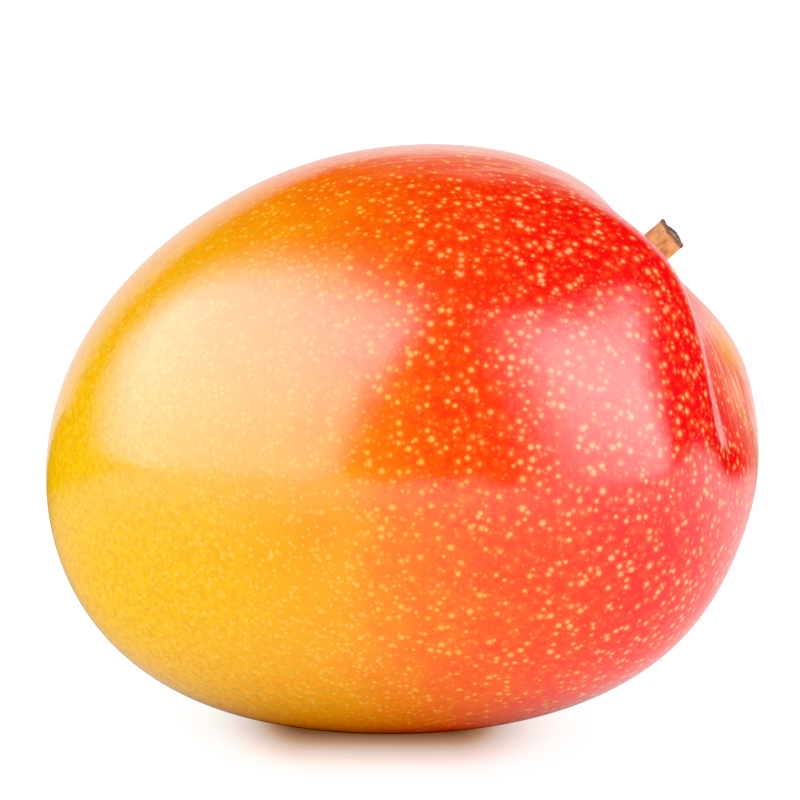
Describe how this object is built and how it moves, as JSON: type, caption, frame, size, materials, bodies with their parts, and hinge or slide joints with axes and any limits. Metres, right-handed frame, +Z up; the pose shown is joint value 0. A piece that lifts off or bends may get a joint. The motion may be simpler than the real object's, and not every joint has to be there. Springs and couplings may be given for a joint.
{
  "type": "mango",
  "caption": "Whole ripe mango with a short woody stalk stub, a plump one-sided ovoid with a hollow round the stalk, lying on its belly.",
  "frame": {"origin": "middle of the flat spot under the belly that the fruit rests on", "axes": "+Z up, +X along the fruit towards the stalk end, -Y towards the front cheek"},
  "size_m": [0.1217, 0.0929, 0.0988],
  "materials": {
    "skin": "smooth waxy fruit skin, yellow to orange to red, with small pale spots",
    "bark": "dry light-brown bark with a dark ragged cut end"
  },
  "bodies": {
    "root": {"fruit": "skin", "stem": "bark"}
  },
  "joints": []
}
